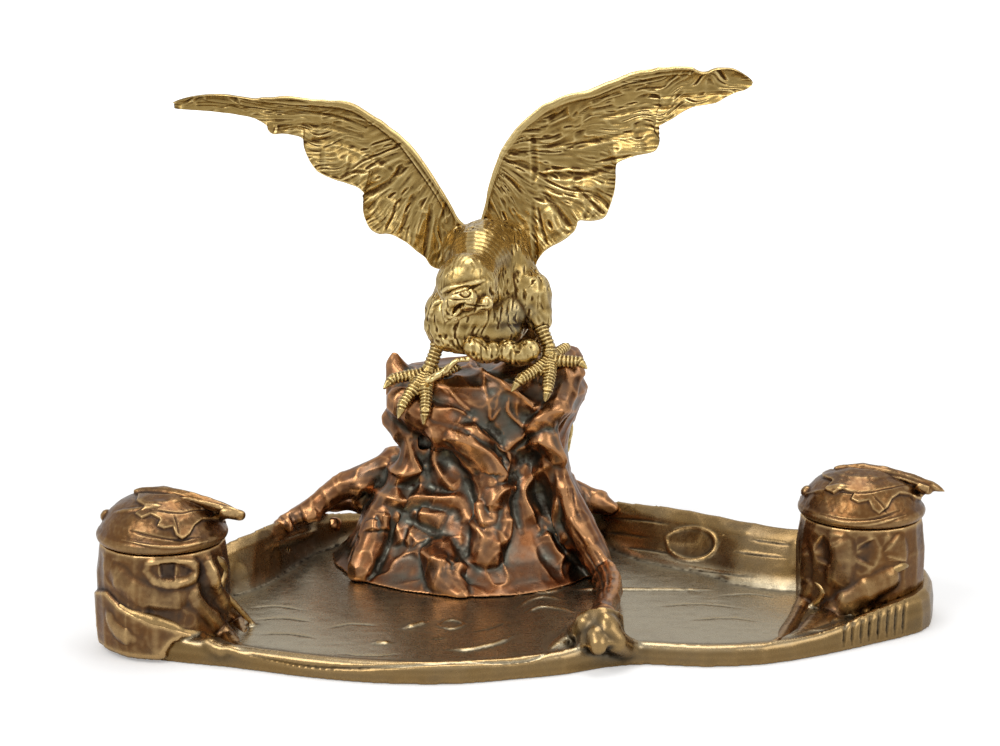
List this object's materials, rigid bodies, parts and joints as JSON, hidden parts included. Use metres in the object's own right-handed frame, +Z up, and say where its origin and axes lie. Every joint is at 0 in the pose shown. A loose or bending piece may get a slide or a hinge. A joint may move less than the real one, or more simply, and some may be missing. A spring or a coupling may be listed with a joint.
{
  "type": "desk inkstand",
  "caption": "Bronze desk inkstand: an eagle with raised wings on a hollow rock, a cast tray with pools for pens, and hinged-lid ink pots with glass liners at its ends.",
  "frame": {"origin": "under the middle of the tray, on the desk", "axes": "+X to the inkstand's right seen from the front, +Y to its back, +Z up"},
  "size_m": [0.3987, 0.2249, 0.258],
  "materials": {
    "gilt_bronze": "gilt bronze, hatched and burnished",
    "rock_bronze": "red-brown patina with grey-green hollows",
    "tray_bronze": "olive-brown patina, rubbed bright on the lip",
    "pot_bronze": "golden-brown patina, rubbed bright",
    "liner_glass": "clear moulded glass",
    "steel": "plain"
  },
  "bodies": {
    "stand": {"tray": "tray_bronze", "rock_mound": "rock_bronze", "left_pot": "pot_bronze", "right_pot": "pot_bronze", "left_hinge_pin": "steel", "right_hinge_pin": "steel", "left_liner": "liner_glass", "right_liner": "liner_glass", "eagle_body": "gilt_bronze", "left_wing": "gilt_bronze", "right_wing": "gilt_bronze", "left_wing_dowel": "steel", "right_wing_dowel": "steel", "left_leg": "gilt_bronze", "right_leg": "gilt_bronze", "left_foot_stud": "steel", "right_foot_stud": "steel", "left_foot_washer": "steel", "right_foot_washer": "steel", "left_foot_nut": "steel", "right_foot_nut": "steel", "rock_screw_1": "steel", "rock_screw_2": "steel", "rock_screw_3": "steel", "left_pot_screw_1": "steel", "left_pot_screw_2": "steel", "right_pot_screw_1": "steel", "right_pot_screw_2": "steel"},
    "left_lid": {"left_lid": "pot_bronze"},
    "right_lid": {"right_lid": "pot_bronze"}
  },
  "joints": [
    {"name": "left_lid_hinge", "type": "hinge", "parent": "stand", "child": "left_lid", "pos_m": [-0.167, -0.01905, 0.05], "axis": [-1, 0, 0], "range_deg": [0, 105]},
    {"name": "right_lid_hinge", "type": "hinge", "parent": "stand", "child": "right_lid", "pos_m": [0.162, 0.02193, 0.05], "axis": [-1, 0, 0], "range_deg": [0, 105]}
  ]
}
